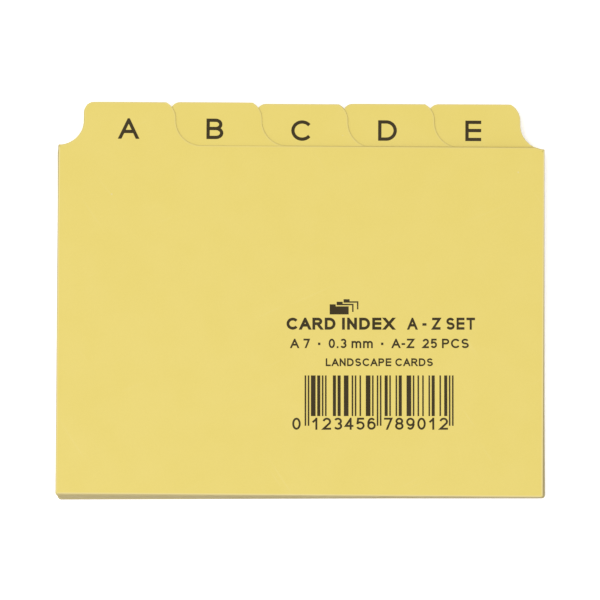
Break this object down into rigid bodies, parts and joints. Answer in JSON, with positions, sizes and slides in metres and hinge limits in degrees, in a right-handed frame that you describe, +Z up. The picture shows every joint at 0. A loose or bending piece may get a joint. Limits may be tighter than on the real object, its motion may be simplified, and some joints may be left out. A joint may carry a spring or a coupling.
{
  "type": "index card divider set",
  "caption": "Pack of loose landscape index divider cards in thin yellow plastic, with staggered rounded tabs along one long edge for an A-Z card file.",
  "frame": {"origin": "under the middle of the back card, on the plane that the pack lies on", "axes": "+X along the cards' long edge, to the right when the cards are read; +Y towards the tabs; +Z up through the pack, from the back card to the front card"},
  "size_m": [0.1059, 0.0861, 0.0085],
  "materials": {
    "yellow_sheet": "satin",
    "index_ink": "matte"
  },
  "bodies": {
    "card_a": {"card_a": "yellow_sheet"},
    "card_b": {"card_b": "yellow_sheet"},
    "card_c": {"card_c": "yellow_sheet"},
    "card_d": {"card_d": "yellow_sheet"},
    "card_e": {"card_e": "yellow_sheet"},
    "card_f": {"card_f": "yellow_sheet"},
    "card_g": {"card_g": "yellow_sheet"},
    "card_h": {"card_h": "yellow_sheet"},
    "card_i": {"card_i": "yellow_sheet"},
    "card_j": {"card_j": "yellow_sheet"},
    "card_k": {"card_k": "yellow_sheet"},
    "card_l": {"card_l": "yellow_sheet"},
    "card_m": {"card_m": "yellow_sheet"},
    "card_n": {"card_n": "yellow_sheet"},
    "card_o": {"card_o": "yellow_sheet"},
    "card_p": {"card_p": "yellow_sheet"},
    "card_q": {"card_q": "yellow_sheet"},
    "card_r": {"card_r": "yellow_sheet"},
    "card_s": {"card_s": "yellow_sheet"},
    "card_t": {"card_t": "yellow_sheet"},
    "card_u": {"card_u": "yellow_sheet"},
    "card_v": {"card_v": "yellow_sheet"},
    "card_w": {"card_w": "yellow_sheet"},
    "card_xy": {"card_xy": "yellow_sheet"},
    "card_z": {"card_z": "yellow_sheet"}
  },
  "joints": [
    {"name": "draw_card_a", "type": "slide", "parent": "card_z", "child": "card_a", "axis": [0, 1, 0], "range_m": [0, 0.088]},
    {"name": "draw_card_b", "type": "slide", "parent": "card_z", "child": "card_b", "axis": [0, 1, 0], "range_m": [0, 0.088]},
    {"name": "draw_card_c", "type": "slide", "parent": "card_z", "child": "card_c", "axis": [0, 1, 0], "range_m": [0, 0.088]},
    {"name": "draw_card_d", "type": "slide", "parent": "card_z", "child": "card_d", "axis": [0, 1, 0], "range_m": [0, 0.088]},
    {"name": "draw_card_e", "type": "slide", "parent": "card_z", "child": "card_e", "axis": [0, 1, 0], "range_m": [0, 0.088]},
    {"name": "draw_card_f", "type": "slide", "parent": "card_z", "child": "card_f", "axis": [0, 1, 0], "range_m": [0, 0.088]},
    {"name": "draw_card_g", "type": "slide", "parent": "card_z", "child": "card_g", "axis": [0, 1, 0], "range_m": [0, 0.088]},
    {"name": "draw_card_h", "type": "slide", "parent": "card_z", "child": "card_h", "axis": [0, 1, 0], "range_m": [0, 0.088]},
    {"name": "draw_card_i", "type": "slide", "parent": "card_z", "child": "card_i", "axis": [0, 1, 0], "range_m": [0, 0.088]},
    {"name": "draw_card_j", "type": "slide", "parent": "card_z", "child": "card_j", "axis": [0, 1, 0], "range_m": [0, 0.088]},
    {"name": "draw_card_k", "type": "slide", "parent": "card_z", "child": "card_k", "axis": [0, 1, 0], "range_m": [0, 0.088]},
    {"name": "draw_card_l", "type": "slide", "parent": "card_z", "child": "card_l", "axis": [0, 1, 0], "range_m": [0, 0.088]},
    {"name": "draw_card_m", "type": "slide", "parent": "card_z", "child": "card_m", "axis": [0, 1, 0], "range_m": [0, 0.088]},
    {"name": "draw_card_n", "type": "slide", "parent": "card_z", "child": "card_n", "axis": [0, 1, 0], "range_m": [0, 0.088]},
    {"name": "draw_card_o", "type": "slide", "parent": "card_z", "child": "card_o", "axis": [0, 1, 0], "range_m": [0, 0.088]},
    {"name": "draw_card_p", "type": "slide", "parent": "card_z", "child": "card_p", "axis": [0, 1, 0], "range_m": [0, 0.088]},
    {"name": "draw_card_q", "type": "slide", "parent": "card_z", "child": "card_q", "axis": [0, 1, 0], "range_m": [0, 0.088]},
    {"name": "draw_card_r", "type": "slide", "parent": "card_z", "child": "card_r", "axis": [0, 1, 0], "range_m": [0, 0.088]},
    {"name": "draw_card_s", "type": "slide", "parent": "card_z", "child": "card_s", "axis": [0, 1, 0], "range_m": [0, 0.088]},
    {"name": "draw_card_t", "type": "slide", "parent": "card_z", "child": "card_t", "axis": [0, 1, 0], "range_m": [0, 0.088]},
    {"name": "draw_card_u", "type": "slide", "parent": "card_z", "child": "card_u", "axis": [0, 1, 0], "range_m": [0, 0.088]},
    {"name": "draw_card_v", "type": "slide", "parent": "card_z", "child": "card_v", "axis": [0, 1, 0], "range_m": [0, 0.088]},
    {"name": "draw_card_w", "type": "slide", "parent": "card_z", "child": "card_w", "axis": [0, 1, 0], "range_m": [0, 0.088]},
    {"name": "draw_card_xy", "type": "slide", "parent": "card_z", "child": "card_xy", "axis": [0, 1, 0], "range_m": [0, 0.088]}
  ]
}
